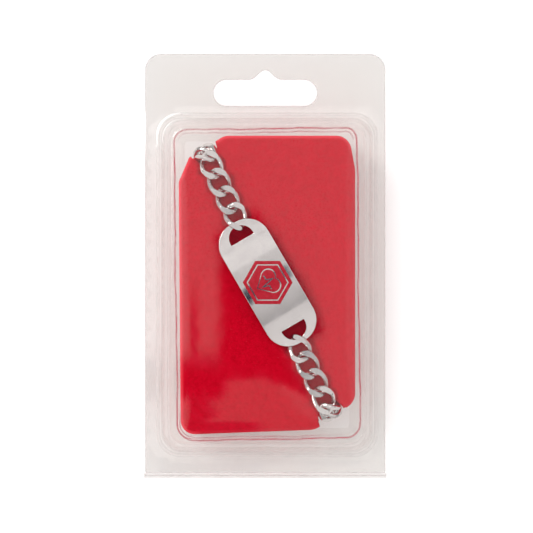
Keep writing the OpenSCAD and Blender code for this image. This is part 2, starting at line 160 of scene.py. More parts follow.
def band(a, b, n, flip=False):
    """Faces between two closed rings of n points that start at points a and b."""
    pairs = [(i, (i + 1) % n) for i in range(n)]
    if flip:
        return [(a + i, b + i, b + j, a + j) for i, j in pairs]
    return [(a + i, a + j, b + j, b + i) for i, j in pairs]


def inward(loop):
    """A closed loop's mitre at each point, towards its left side and long enough for an even offset."""
    before, after = left_of(unit(loop - np.roll(loop, 1, 0))), left_of(unit(np.roll(loop, -1, 0) - loop))
    mitre, sharpest = before + after, 0.35
    return mitre / np.maximum((mitre * before).sum(1), sharpest)[:, None]


def inside(points, loops):
    """Even-odd test of 2D points against closed loops."""
    odd = np.zeros(len(points), bool)
    x, y = points[:, 0], points[:, 1]
    for loop in loops:
        a, b = loop, np.roll(loop, -1, 0)
        for (x0, y0), (x1, y1) in zip(a, b):
            if y0 != y1:
                odd ^= ((y0 > y) != (y1 > y)) & (x < (x1 - x0) * (y - y0) / (y1 - y0) + x0)
    return odd


def grid_points(loops, step, margin):
    """Points on a staggered grid inside the loops, at least margin from their points."""
    edge = np.concatenate(loops)
    lo, hi = edge.min(0), edge.max(0)
    rows = []
    for j, y in enumerate(np.arange(lo[1] + step / 2, hi[1], step * 0.866)):
        xs = np.arange(lo[0] + step / 2 + (j % 2) * step / 2, hi[0], step)
        rows.append(np.stack([xs, np.full(len(xs), y)], 1))
    pts = np.concatenate(rows)
    pts = pts[inside(pts, loops)]
    keep, batch = np.ones(len(pts), bool), 1000
    for i in range(0, len(pts), batch):
        away = edge[None] - pts[i:i + batch, None]
        keep[i:i + batch] = (away ** 2).sum(2).min(1) > margin * margin
    return pts[keep]


def cap(loops, extra):
    """Triangles, seen from above, that fill the loops, and their points, the loops' own first and in order."""
    pts = np.concatenate([*loops, extra])
    edges, at = [], 0
    for loop in loops:
        n = len(loop)
        edges += [(at + i, at + (i + 1) % n) for i in range(n)]
        at += n
    tolerance, least_area = 1e-7, 0.001
    co, _, tris, source = delaunay_2d_cdt([Vector(p) for p in pts], edges, [], 0, tolerance, True)[:4]
    co = np.array([tuple(v) for v in co])
    index = np.array([own[0] if own else -1 for own in source])
    tris = np.array([f for f in tris if len(f) == 3])
    tris = tris[inside(co[tris].mean(1), loops)]
    a, b, c = co[tris[:, 0]], co[tris[:, 1]], co[tris[:, 2]]
    area = (b[:, 0] - a[:, 0]) * (c[:, 1] - a[:, 1]) - (c[:, 0] - a[:, 0]) * (b[:, 1] - a[:, 1])
    tris[area < 0] = tris[area < 0][:, ::-1]
    new = np.flatnonzero(index < 0)
    index[new] = len(pts) + np.arange(len(new))
    pts = np.concatenate([pts, co[new]])
    tris = index[tris]
    # beside a straight run of a loop's points there are slivers outside the fill, which go
    ahead = tris * len(pts) + tris[:, [1, 2, 0]]
    behind = tris[:, [1, 2, 0]] * len(pts) + tris
    rim = [i * len(pts) + j for a, b in edges for i, j in ((a, b), (b, a))]
    sliver = (np.isin(ahead, rim) & np.isin(behind, ahead)).any(1) & (np.abs(area) < least_area)
    return pts, tris[~sliver]


class Skin:
    """Points and faces of a mesh as it grows."""

    def __init__(self):
        self.verts, self.faces, self.marks, self.count = [], [], [], 0

    def add(self, points2, z, mark=0.0):
        """Adds points, given in plan, at a level, and gives the number of the first."""
        self.verts.append(np.column_stack([points2, np.zeros(len(points2)) + z]))
        self.marks.append(np.full(len(points2), mark))
        self.count += len(points2)
        return self.count - len(points2)

    def fill(self, loops, starts, flip, z, grid, margin):
        """Fills between rings of points, with more points on a grid at the level that z gives."""
        pts, tris = cap(loops, grid_points(loops, grid, margin))
        own = np.concatenate([np.arange(first, first + len(loop)) for first, loop in zip(starts, loops)])
        if len(pts) > len(own):
            more = pts[len(own):]
            first = self.add(more, z(*more.T))
            own = np.concatenate([own, np.arange(first, first + len(more))])
        self.faces += [(a, c, b) if flip else (a, b, c) for a, b, c in own[tris]]


def slab(loops, top, bottom, r_top, r_bottom, grid, steps=4, pockets=(), pocket_z=None, hold=0.0):
    """A solid between two surfaces over 2D loops whose inside lies on their left, with round edges.
    Pockets are further loops cut down from the top to pocket_z. A further ring, as far inside the round edges
    as hold, keeps their shading off the faces. Returns points and faces."""
    skin = Skin()
    add = skin.add
    top_rings, bottom_rings = [], []
    for loop in loops:
        n, side = len(loop), inward(loop)
        rings = []
        for t in np.linspace(90, 0, steps + 1) if r_bottom else [0]:
            p = loop + side * r_bottom * (1 - cos(t))
            rings.append(add(p, bottom(*p.T) + r_bottom * (1 - sin(t))))
        first = loop + side * (r_bottom + hold)
        if hold:
            rings.insert(0, add(first, bottom(*first.T)))
        bottom_rings.append((rings[0], first))
        for t in np.linspace(0, 90, steps + 1):
            p = loop + side * r_top * (1 - cos(t))
            rings.append(add(p, top(*p.T) - r_top * (1 - sin(t))))
        last = loop + side * (r_top + hold)
        if hold:
            rings.append(add(last, top(*last.T)))
        top_rings.append((rings[-1], last))
        for low, high in zip(rings, rings[1:]):
            skin.faces += band(low, high, n)
    floors = []
    for loop in pockets:
        low, high = add(loop, pocket_z(*loop.T)), add(loop, top(*loop.T))
        skin.faces += band(low, high, len(loop))
        floors.append((low, loop))
        top_rings.append((high, loop))
    for rings, z, flip in ((top_rings, top, False), (bottom_rings, bottom, True), (floors, pocket_z, False)):
        if rings:
            starts, shapes = zip(*rings)
            skin.fill(shapes, starts, flip, z, grid, margin=grid * 0.55)
    return np.concatenate(skin.verts), skin.faces


def placed(verts, degrees):
    """Points turned about the plate's middle and put where it is in the pack."""
    out = np.array(verts, float)
    out[:, :2] = turned(out[:, :2], degrees) + [PLATE_X, PLATE_Y]
    return out


# ---------------------------------------------------------------- materials
WHITE = (1, 1, 1, 1)


class Nodes:
    """A short way to build the nodes of a material or a world. Colours are linear."""

    def __init__(self, owner, output="ShaderNodeOutputMaterial"):
        owner.use_nodes = True
        self.tree = owner.node_tree
        self.tree.nodes.clear()
        self.out = self.node(output).inputs["Surface"]
        coordinates = self.node("ShaderNodeTexCoord").outputs
        self.place, self.direction = coordinates["Object"], coordinates["Generated"]

    def node(self, kind, inputs=None, **settings):
        made = self.tree.nodes.new(kind)
        for k, v in settings.items():
            setattr(made, k, v)
        for k, v in (inputs or {}).items():
            self.put(made.inputs[k], v)
        return made

    def put(self, socket, value):
        if isinstance(value, bpy.types.NodeSocket):
            self.tree.links.new(value, socket)
        else:
            socket.default_value = value

    def noise(self, scale, detail, roughness=0.5, vector=None):
        return self.node("ShaderNodeTexNoise", {"Vector": vector or self.place, "Scale": scale,
                                                "Detail": detail, "Roughness": roughness}).outputs["Fac"]

    def ramp(self, value, low, high, to_low=0.0, to_high=1.0):
        return self.node("ShaderNodeMapRange", {"Value": value, "From Min": low, "From Max": high,
                                                "To Min": to_low, "To Max": to_high}).outputs[0]

    def math(self, operation, a, b=0.0, c=0.0):
        return self.node("ShaderNodeMath", {0: a, 1: b, 2: c}, operation=operation).outputs[0]

    def mix_colour(self, factor, a, b):
        made = self.node("ShaderNodeMix", data_type="RGBA")
        for i, value in ((0, factor), (6, a), (7, b)):
            self.put(made.inputs[i], value)
        return made.outputs[2]

    def mix_shader(self, factor, a, b):
        return self.node("ShaderNodeMixShader", {0: factor, 1: a, 2: b}).outputs[0]

    def shader(self, kind, **inputs):
        named = {k.replace("_", " "): v for k, v in inputs.items()}
        return self.node("ShaderNode" + kind, named).outputs[0]

    def mark(self, name):
        return self.node("ShaderNodeAttribute", attribute_name=name).outputs["Fac"]

    def bump(self, height, distance, strength):
        return self.node("ShaderNodeBump", {"Height": height, "Distance": distance,
                                            "Strength": strength}).outputs[0]


def new_material(name):
    made = bpy.data.materials.new(name)
    return made, Nodes(made)


def steel_material(name, rough_low, rough_high, scratch, turn=0.0):
    """Bright steel with smears and fine scratches of a depth in metres, along a turned grain."""
    made, m = new_material(name)
    dark, light = (0.785, 0.76, 0.755, 1), (0.835, 0.81, 0.805, 1)
    grain_size = (1 / 7000, 1 / 260, 1 / 2000)
    grain = m.node("ShaderNodeMapping", {"Vector": m.place, "Rotation": (0, 0, math.radians(turn)),
                                         "Scale": grain_size}, vector_type="TEXTURE").outputs[0]
    smear = m.noise(260, 3)
    fine = m.noise(1, 2, 0.6, vector=grain)
    rough = m.math("MULTIPLY_ADD", m.ramp(smear, 0.35, 0.7), rough_high - rough_low, rough_low)
    tone = m.mix_colour(m.ramp(smear, 0.3, 0.7), dark, light)
    m.put(m.out, m.shader("BsdfPrincipled", Base_Color=tone, Metallic=1.0, Roughness=rough,
                          Normal=m.bump(fine, scratch, 0.3)))
    return made


def enamel_material():
    made, m = new_material("enamel")
    dark, light = (0.40, 0.004, 0.014, 1), (0.50, 0.009, 0.026, 1)
    cloud = m.noise(900, 3)
    tone = m.mix_colour(m.ramp(cloud, 0.3, 0.7), dark, light)
    rough = m.math("MULTIPLY_ADD", m.noise(1500, 2), 0.08, 0.12)
    m.put(m.out, m.shader("BsdfPrincipled", Base_Color=tone, Roughness=rough, Specular_IOR_Level=0.22,
                          Coat_Weight=0.15, Coat_Roughness=0.06, Normal=m.bump(cloud, 0.00001, 0.2)))
    return made


def foam_material():
    """Red foam with fine cells, flecks and clouds, a painted highlight on its rim and painted contact shade.
    """
    made, m = new_material("foam")
    dark, light = (0.40, 0.0001, 0.007, 1), (0.66, 0.0008, 0.019, 1)
    cell, weave = m.noise(2400, 3, 0.65), m.noise(1500, 2, 0.5)
    cloud, fleck = m.noise(60, 3), m.noise(620, 2, 0.6)
    tone = m.mix_colour(m.ramp(cell, 0.32, 0.68), dark, light)
    for share, colour in ((m.ramp(cloud, 0.3, 0.7, 0, 0.35), (0.495, 0.0003, 0.010, 1)),
                          (m.ramp(fleck, 0.35, 0.7, 0, 0.22), (0.84, 0.003, 0.030, 1)),
                          # painted highlight on the rim's round edges, where they would catch the lamp
                          (m.math("MULTIPLY", m.mark("rim"), 0.9), (0.82, 0.045, 0.07, 1)),
                          # painted contact shade along the chain and under and beside the plate
                          (m.math("MULTIPLY", m.mark("painted_contact_shade"), 0.55), (0.33, 0.0001, 0.006, 1))):
        tone = m.mix_colour(share, tone, colour)
    rough = m.math("MULTIPLY_ADD", weave, 0.15, 0.72)
    height = m.math("ADD", cell, m.math("MULTIPLY", weave, 0.8))
    m.put(m.out, m.shader("BsdfPrincipled", Base_Color=tone, Roughness=rough, Specular_IOR_Level=0.015,
                          Sheen_Weight=0.015, Sheen_Roughness=0.4, Sheen_Tint=(1.0, 0.35, 0.38, 1),
                          Normal=m.bump(height, 0.00006, 0.6)))
    return made


def clear_material():
    """Thin clear sheet: it shows what is behind it, tinted a little more where it is seen aslant, with a
    gloss. Lamps and bounced light go straight through, as they nearly do in the real sheet. Light is painted
    on its formed edges: a red reflection of the pad round the face, pale lines on the bends, a white highlight
    at one corner."""
    made, m = new_material("clear_sheet")
    straight, aslant, thin = (0.932, 0.924, 0.918, 1), (0.931, 0.912, 0.907, 1), (0.99, 0.985, 0.98, 1)
    painted_edges = {"painted_bend_lines": ((0.62, 0.58, 0.57, 1), 0.30), "painted_pad_reflection": ((0.45, 0.075, 0.105, 1), 0.72),
             "painted_corner_highlight": ((0.97, 0.97, 0.96, 1), 0.95)}
    ripple = m.bump(m.noise(70, 2), 0.00004, 0.3)
    slant = m.node("ShaderNodeLayerWeight", {"Blend": 0.5, "Normal": ripple}).outputs["Facing"]
    tint = m.mix_colour(m.ramp(slant, 0.1, 0.7), straight, aslant)
    gloss = m.shader("BsdfGlossy", Color=WHITE, Roughness=0.025, Normal=ripple)
    share = m.math("MULTIPLY_ADD", m.math("POWER", slant, 5.0), 0.97, 0.028)
    seen = m.mix_shader(share, m.shader("BsdfTransparent", Color=tint), gloss)
    # each painted edge mark mixes in a diffuse colour: the red reflection, the pale lines and the white
    # highlight
    for mark, (colour, most) in painted_edges.items():
        uneven = m.math("MULTIPLY", m.mark(mark), m.ramp(m.noise(120, 3), 0.3, 0.65, 0.45 * most, most))
        seen = m.mix_shader(uneven, seen, m.shader("BsdfDiffuse", Color=colour))
    path = m.node("ShaderNodeLightPath").outputs
    lit = m.math("MAXIMUM", path["Is Shadow Ray"], path["Is Diffuse Ray"])
    m.put(m.out, m.mix_shader(lit, seen, m.shader("BsdfTransparent", Color=thin)))
    return made


STEEL = steel_material("steel_plate", rough_low=0.05, rough_high=0.08, scratch=0.000001, turn=PLATE_TURN)
CHAIN_STEEL = steel_material("steel_chain", rough_low=0.05, rough_high=0.11, scratch=0.000005)
ENAMEL = enamel_material()
FOAM = foam_material()
CLEAR = clear_material()


# ---------------------------------------------------------------- the chain's path
LINK_A, LINK_B = (PITCH + WIRE_D + LINK_PLAY) / 2, (LINK_W - WIRE_D) / 2
HALF_LINKS = FRONT_LINKS + WRAP_LINKS + BACK_LINKS
WIRE_SHARE = 0.985  # the visible wire's thickness as a share of the solid's


def take_up(bend):
    """How much less a link reaches where the chain bends."""
    return TAKE_UP / 2 * bend / SHARP_BEND


def wrap_drop(steep):
    """How far down the chain comes at its turn, from the steeper links' tilt."""
    return (2 * (PITCH - take_up(3 * steep - 180) - take_up(180 - 2 * steep)) * sin(3 * steep - 180)
            + 2 * (PITCH - 2 * take_up(180 - 2 * steep)) * sin(steep))


def chain_path():
    """Each link's middle in the bracelet's upright plane, its tilt and its roll, for one half."""
    low, high, halvings = 60.0, 84.0, 40
    for _ in range(halvings):
        middle = (low + high) / 2
        low, high = (middle, high) if wrap_drop(middle) < FRONT_RUN_Z - BACK_RUN_Z else (low, middle)
    steep = (low + high) / 2
    tilts = ([math.degrees(math.asin(RIM_LIFT / PITCH))] + [0] * (FRONT_LINKS - 1)
             + [3 * steep - 180, steep, 180 - steep, 360 - 3 * steep] + [180] * BACK_LINKS)
    bends = [0] + [abs(b - a) for a, b in zip(tilts, tilts[1:])] + [0]
    start = SLOT_Y * cos(CHAIN_LAG) + math.sqrt(SLOT_R ** 2 - (SLOT_Y * sin(CHAIN_LAG)) ** 2)
    at = np.array([start - RIM_PLAY, FRONT_RUN_Z + RIM_LIFT])
    hinges, middles = [at], []
    for i, tilt in enumerate(tilts):
        run = np.array([cos(tilt), -sin(tilt)])
        middles.append(at + (PITCH / 2 - take_up(bends[i])) * run)
        at = at + (PITCH - take_up(bends[i]) - take_up(bends[i + 1])) * run
        hinges.append(at)
    rolls = [RIM_ROLL] + [0] * (HALF_LINKS - 2) + [-CLASP_ROLL]
    return start, hinges, middles, tilts, rolls, bends


CHAIN_START, HINGES, MIDDLES, TILTS, ROLLS, BENDS = chain_path()
CLASP_SPAN = 2 * (HINGES[-1][0] + RIM_PLAY)


def chain_side(side):
    """The place and the turn of one half of the bracelet, in the pack."""
    return (Matrix.Translation((PLATE_X * MM, PLATE_Y * MM, 0))
            @ Matrix.Rotation(math.radians(90 + CHAIN_TURN + 180 * side), 4, "Z"))


def link_mesh():
    """One link: round wire on a squarish, twisted loop, ground flat on both faces."""
    segments, sides, step, wire_r = 72, 18, 0.03, WIRE_SHARE * WIRE_D / 2
    t = 2 * math.pi * (np.arange(segments) + 0.5) / segments

    def line(t):
        x = LINK_A * np.sign(np.cos(t)) * np.abs(np.cos(t)) ** (2 / LINK_SQUARE)
        y = LINK_B * np.sign(np.sin(t)) * np.abs(np.sin(t)) ** (2 / LINK_SQUARE)
        turn = np.radians(-LINK_TWIST * x / LINK_A)
        return np.stack([x, y * np.cos(turn), y * np.sin(turn)], 1)

    middle, along = line(t), unit(line(t + step) - line(t - step))
    across = unit(np.cross(along, unit(middle)))
    outward = np.cross(across, along)
    bm = bmesh.new()
    rings = []
    for m, o, a in zip(middle, outward, across):
        ring = []
        for k in range(sides):
            turn = 2 * math.pi * (k + 0.5) / sides
            ring.append(bm.verts.new((m + wire_r * (math.cos(turn) * o + math.sin(turn) * a)) * MM))
        rings.append(ring)
    for here, after in zip(rings, rings[1:] + rings[:1]):
        for k in range(sides):
            beside = (k + 1) % sides
            bm.faces.new((here[k], after[k], after[beside], here[beside]))
    bmesh.ops.recalc_face_normals(bm, faces=bm.faces)
    for up in (1, -1):
        everything = bm.verts[:] + bm.edges[:] + bm.faces[:]
        cut = bmesh.ops.bisect_plane(bm, geom=everything, dist=1e-8, plane_co=(0, 0, up * LINK_T / 2 * MM),
                                     plane_no=(0, 0, up), clear_outer=True)
        rim = [e for e in cut["geom_cut"] if isinstance(e, bmesh.types.BMEdge)]
        bmesh.ops.edgenet_fill(bm, edges=rim)
    bmesh.ops.recalc_face_normals(bm, faces=bm.faces)
    mesh = bpy.data.meshes.new("link")
    bm.to_mesh(mesh)
    bm.free()
    mesh.shade_smooth()
    mesh.set_sharp_from_angle(angle=math.radians(LINK_FOLD))
    mesh.materials.append(CHAIN_STEEL)
    return mesh


def build_chain():
    mesh = link_mesh()
    for side in (0, 1):
        for k in range(HALF_LINKS):
            number = side * HALF_LINKS + k + 1
            obj = add_object(f"chain_link_{number:02d}", mesh)
            s, z = MIDDLES[k]
            obj.matrix_world = (chain_side(side) @ Matrix.Translation((s * MM, 0, z * MM))
                                @ Matrix.Rotation(math.radians(TILTS[k]), 4, "Y")
                                @ Matrix.Rotation(math.radians(ROLLS[k]), 4, "X"))
            finish_piece(obj, "pack", [f"link_{number:02d}"])


# ---------------------------------------------------------------- plate, badge and clasp
def plate_outline():
    crown_y, corner_x = PLATE_L / 2 - CROWN_R, PLATE_W / 2 - CORNER_R
    lean = CROWN_R - CORNER_R
    rise = math.sqrt(lean * lean - corner_x * corner_x)
    a = math.degrees(math.atan2(rise, corner_x))
    corner_y = crown_y + rise
    end = np.concatenate([arc(corner_x, corner_y, CORNER_R, 0, a, 20),
                          arc(0, crown_y, CROWN_R, a, 180 - a, 24)[1:-1],
                          arc(-corner_x, corner_y, CORNER_R, 180 - a, 180, 20)])
    sides = np.linspace(corner_y, -corner_y, 20)[1:-1]
    left = np.stack([np.full(len(sides), -PLATE_W / 2), sides], 1)
    return np.concatenate([end, left, -end, -left])


def slot_loop(end):
    """The D-shaped slot at one end, clockwise, so that the steel lies on its left."""
    flat = RIM_REACH - SLOT_DEPTH
    a = math.degrees(math.asin((flat - SLOT_Y) / SLOT_R))
    loop = arc(0, SLOT_Y, SLOT_R, 180 - a, a, 40)
    edge = np.linspace(loop[-1], loop[0], 12)[1:-1]
    return end * np.concatenate([loop, edge])


def hexagon(flats):
    """Six corners, one of them along the plate, and points between them so that the sides follow the bow."""
    corners = arc(0, 0, flats / math.sqrt(3), 90, 450, 6)
    return np.concatenate([np.linspace(a, b, 8)[:-1] for a, b in zip(corners, corners[1:])])


def heart(w):
    r = w / (2 + math.sqrt(2))
    x, y = r / math.sqrt(2), 0.5 * r
    tip = np.array([0, y - x - r * math.sqrt(2)])
    right, left = arc(x, y, r, -45, 135, 24), arc(-x, y, r, 45, 225, 24)
    loop = np.concatenate([np.linspace(tip, right[0], 6)[:-1], right,
                           left[1:], np.linspace(left[-1], tip, 6)[1:-1]])
    return turned(loop, -90)


def pulse(inset):
    """The outline of the heart's pulse line, made narrower on all sides by an inset."""
    reach, high, w = HEART_W * 0.34, HEART_W * 0.25, BADGE_LINE - 2 * inset
    line = np.array([[inset - reach, 0], [-0.4 * reach, 0], [-0.12 * reach, high], [0.2 * reach, -high],
                     [0.45 * reach, 0], [reach - inset, 0]])
    run = unit(np.diff(line, axis=0))
    before, after = np.concatenate([run[:1], run]), np.concatenate([run, run[-1:]])
    mitre = unit(before + after)
    side = left_of(mitre) * (w / 2 / (mitre * before).sum(1))[:, None]
    return turned(np.concatenate([line - side, (line + side)[::-1]]), -90)


def bow(depth):
    """The level of the bowed plate at a depth below its face."""
    outer_r = PLATE_BOW_R + PLATE_T / 2
    return lambda x, y: CROWN_Z - outer_r + np.sqrt((outer_r - depth) ** 2 - np.asarray(y, float) ** 2)


def build_plate():
    fit, enamel_rise = ENAMEL_GAP * 0.3, 0.015
    inner = BADGE_W - 2 * BADGE_BAND
    field = inner - 2 * BADGE_LINE
    round_heart = HEART_W + 2 * BADGE_LINE
    pockets = [hexagon(BADGE_W + 2 * fit)[::-1], hexagon(inner - 2 * fit), hexagon(field + 2 * fit)[::-1],
               heart(round_heart - 2 * fit), heart(HEART_W + 2 * fit)[::-1], pulse(fit)]
    loops = [plate_outline(), slot_loop(1), slot_loop(-1)]
    verts, faces = slab(loops, bow(0), bow(PLATE_T), r_top=0.1, r_bottom=0.12, grid=0.8, pockets=pockets,
                        pocket_z=bow(BADGE_DEPTH), hold=0.05)
    piece("plate", placed(verts, PLATE_TURN), faces, STEEL, HARD_FOLD, "pack", ["id_plate"])
    parts = {"ring": [hexagon(BADGE_W), hexagon(inner)[::-1]],
             "field": [hexagon(field), heart(round_heart)[::-1]],
             "heart": [heart(HEART_W), pulse(0)[::-1]]}
    for name, shape in parts.items():
        verts, faces = slab(shape, bow(-enamel_rise), bow(BADGE_DEPTH), r_top=0.07, r_bottom=0, grid=0.5,
                            steps=3)
        piece("enamel_" + name, placed(verts, PLATE_TURN), faces, ENAMEL, HARD_FOLD, "pack", ["badge_" + name])


def build_clasp():
    round_x, inner_r = CLASP_SPAN / 2 + CLASP_RIM_W - CLASP_W / 2, CLASP_W / 2 - CLASP_RIM_W
    outline = np.concatenate([arc(round_x, 0, CLASP_W / 2, -90, 90, 32),
                              arc(-round_x, 0, CLASP_W / 2, 90, 270, 32)])
    flat, centre, slope = CLASP_SPAN / 2 - CLASP_SLOT, CLASP_SPAN / 2 - inner_r, 0.9
    hole = np.concatenate([[[flat, -inner_r], [flat, inner_r]], arc(centre, 0, inner_r, 90, -90, 28)])

    def half(x):
        return CLASP_RIM_T / 2 + (CLASP_T - CLASP_RIM_T) / 2 * smooth((flat - np.abs(x)) / slope)

    verts, faces = slab([outline, hole, -hole], lambda x, y: BACK_RUN_Z + half(x),
                        lambda x, y: BACK_RUN_Z - half(x), r_top=0.25, r_bottom=0.25, grid=0.6, hold=0.05)
    piece("clasp_bar", placed(verts, 90 + CHAIN_TURN), faces, CHAIN_STEEL, HARD_FOLD, "pack", ["clasp"])


# ---------------------------------------------------------------- pad
FOAM_EDGE_R, FOAM_STEP = SEAT_R - 0.1, 0.7


def hull(points):
    """The convex outline of points, turning left."""
    pts = sorted(map(tuple, points))

    def half(run):
        out = []
        for p in run:
            while len(out) > 1 and ((out[-1][0] - out[-2][0]) * (p[1] - out[-2][1])
                                    - (out[-1][1] - out[-2][1]) * (p[0] - out[-2][0])) <= 0:
                out.pop()
            out.append(p)
        return out[:-1]

    return np.array(half(pts) + half(pts[::-1]))


def pad_outline():
    """The pad's outline. A corner is at shares of the way to the side and to the end, and a seat is where the
    chain turns over the pad's side."""
    def corner(x_share, y_share, r):
        return (BLISTER_X + x_share * (PAD_W / 2 - r), BLISTER_Y + y_share * (PAD_H / 2 - r), r)

    def seat(side):
        p = turned([[SEAT_REACH - SEAT_R, SEAT_W / 2]], 90 + CHAIN_TURN + 180 * side)[0]
        return (PLATE_X + p[0], PLATE_Y + p[1], SEAT_R)

    corners = [corner(-1, 0.72, PAD_CUT_R), seat(0), corner(-0.52, 1, 4.5), corner(0.95, 1, 4.6),
               corner(1, 0.88, 6), corner(1, -0.812, 4.8), seat(1), corner(0.609, -0.968, 6),
               corner(-0.975, -1, PAD_FOOT_R)]
    rough = hull(np.concatenate([arc(x, y, r, 0, 360, 72)[:-1] for x, y, r in corners]))
    out = []
    for a, b in zip(rough, np.roll(rough, -1, 0)):
        n = max(1, int(np.linalg.norm(b - a) / FOAM_STEP))
        out.append(np.linspace(a, b, n + 1)[:-1])
    return np.concatenate(out)


def nearest_on(line, p):
    """The nearest point of an open line of points to each of p."""
    best, where = np.full(len(p), 1e9), np.zeros_like(p)
    for a, b in zip(line, line[1:]):
        t = np.clip(((p - a) @ (b - a)) / ((b - a) @ (b - a)), 0, 1)
        q = a + t[:, None] * (b - a)
        d = np.linalg.norm(p - q, axis=1)
        where[d < best], best = q[d < best], np.minimum(best, d)
    return where


def press_chain(verts):
    """Presses the pad away from the chain, which lies a little in the foam and turns over its cut corners.
    Gives the points and, from 0 to 1, the painted contact shade along the chain's channel and a little beside
    it."""
    depth, beyond, middle = LINK_T / 2 + CHAIN_GAP + 0.02, 90, -1
    side_room, narrower, soft, shade = 0.15, 1.05, 0.35, 0.9
    wrap = []
    for i in range(FRONT_LINKS, FRONT_LINKS + WRAP_LINKS + 1):
        half = BENDS[i] / 2
        mid = TILTS[i] - half
        wrap.append(HINGES[i] + depth / cos(half) * np.array([-sin(mid), -cos(mid)]))
    front, back = FRONT_RUN_Z - depth, BACK_RUN_Z + depth
    start, rolled = CHAIN_START - LINK_A, CHAIN_START + LINK_A
    slope_start, clasp_end = start - 1.5, CLASP_SPAN / 2 + LINK_A + WIRE_D
    line = np.array([[slope_start, PAD_FRONT_Z], [start, front - ROLL_ROOM], [rolled, front - ROLL_ROOM],
                     [rolled + ROLL_ROOM, front], *wrap, [clasp_end + ROLL_ROOM, back],
                     [clasp_end, back + ROLL_ROOM], [middle, back + ROLL_ROOM]])
    region = np.concatenate([line, [[middle, -beyond], [beyond, -beyond], [beyond, beyond],
                                    [slope_start, beyond]]])
    out, painted_contact_shade, hinges = verts.copy(), np.zeros(len(verts)), np.array(HINGES)
    for side in (0, 1):
        turn = 90 + CHAIN_TURN + 180 * side
        local = turned(out[:, :2] - [PLATE_X, PLATE_Y], -turn)
        sz = np.stack([local[:, 0], out[:, 2]], 1)
        # the channel is narrower where two links meet
        hinge = np.linalg.norm(sz[:, None] - hinges[None], axis=2).min(1)
        half_w = LINK_W / 2 + side_room - narrower * soft_drop(hinge, 1.9, 2.2)
        share = smooth((half_w + soft - np.abs(local[:, 1])) / soft)
        hit = inside(sz, [region]) & (share > 0) & (local[:, 0] > middle)
        moved = sz[hit] + (nearest_on(line, sz[hit]) - sz[hit]) * share[hit][:, None]
        local[hit, 0] = moved[:, 0]
        out[hit, :2] = turned(local[hit], turn) + [PLATE_X, PLATE_Y]
        out[hit, 2] = moved[:, 1]
        # painted contact shade over the channel, fading out a little beyond the links' sides
        beside = np.clip((half_w + shade - np.abs(local[:, 1])) / shade, 0, 1)
        painted_contact_shade = np.maximum(painted_contact_shade, beside * (local[:, 0] > start - 1))
    return out, painted_contact_shade


def under_plate(verts):
    """How far points are under the plate, taken as a rectangle with round corners, or close beside it,
    from 0 to 1."""
    end_r = 7.5
    local = np.abs(turned(verts[:, :2] - [PLATE_X, PLATE_Y], -90 - PLATE_TURN))
    away = local - [PLATE_L / 2 - end_r, PLATE_W / 2 - end_r]
    d = np.linalg.norm(np.maximum(away, 0), axis=1) + np.minimum(away.max(1), 0) - end_r
    return soft_drop(d, 0.5, 1.4)


def build_pad():
    verts, faces = slab([pad_outline()], lambda x, y: PAD_FRONT_Z, lambda x, y: PAD_BACK_Z,
                        FOAM_EDGE_R, FOAM_EDGE_R, grid=0.9, steps=7)
    x, y, z = verts.T
    # rim: a painted highlight on the pad's round edges, stronger on the left and top, towards the lamp
    drop = (PAD_FRONT_Z - z) / PAD_EDGE_R
    lit_side = np.maximum(soft_step(-x, 20, 4), soft_step(y, 34, 4))
    rim = np.clip(drop / 0.2, 0, 1) * np.clip(2.2 - drop, 0, 1) * (0.35 + 0.65 * lit_side)
    wave = 0.10 * np.sin(x * 0.21 + 1.3) * np.sin(y * 0.17 + 0.4)
    wave += 0.05 * np.sin(x * 0.53 + y * 0.41)
    high = z > (PAD_FRONT_Z + PAD_BACK_Z) / 2
    verts[:, 2] += np.where(high, wave - 0.12, 0.1 - wave)
    verts, painted_contact_shade = press_chain(verts)
    # painted shade under and beside the plate, as its shadow on the pad
    painted_contact_shade = np.maximum(painted_contact_shade, 0.8 * under_plate(verts)) * high
    obj = piece("foam_pad", verts, faces, FOAM, ALL_SMOOTH, "pack", ["pad"],
                {"rim": rim, "painted_contact_shade": painted_contact_shade})


# ---------------------------------------------------------------- clear pack
CORNER_STEPS, END_STEPS, SIDE_STEPS = 16, 28, 44
EDGE_STEPS = [0.1 * i for i in range(1, 19)]
FLANGE_INSET, FLANGE_LINE = 0.9 * FOOT_CORNER_R, 0.14
# strengths of pale lines painted on the bends, standing in for their reflections and refractions
FLANGE_PAINTED_LINE, FOOT_PAINTED_LINE, BEAD_PAINTED_LINE = 0.9, 0.75, 0.5  # how pale the edges are
TIGHT_R, WIDE_R, LEDGE_R = 0.15, 0.5, 0.55  # of the ledge's bends


def section(left, right, foot, head, r_foot, r_head):
    """A rectangle with round corners, as the same number of points at every size."""
    corners = [arc(right - r_head, head - r_head, r_head, 0, 90, CORNER_STEPS),
               arc(left + r_head, head - r_head, r_head, 90, 180, CORNER_STEPS),
               arc(left + r_foot, foot + r_foot, r_foot, 180, 270, CORNER_STEPS),
               arc(right - r_foot, foot + r_foot, r_foot, 270, 360, CORNER_STEPS)]
    out = []
    for here, after, steps in zip(corners, corners[1:] + corners[:1], (END_STEPS, SIDE_STEPS) * 2):
        out += [here, np.linspace(here[-1], after[0], steps)[1:-1]]
    return np.concatenate(out)


def blister_section(inset):
    r = BLISTER_R - CORNER_LOSS * inset
    return section(BLISTER_X - BLISTER_W / 2 + inset, BLISTER_X + BLISTER_W / 2 - inset,
                   BLISTER_Y - BLISTER_H / 2 + inset, BLISTER_Y + BLISTER_H / 2 - inset, r, r)


def blister_depth(verts):
    """How far points lie inside the blister's outline."""
    return np.minimum(BLISTER_W / 2 - np.abs(verts[:, 0] - BLISTER_X),
                      BLISTER_H / 2 - np.abs(verts[:, 1] - BLISTER_Y))


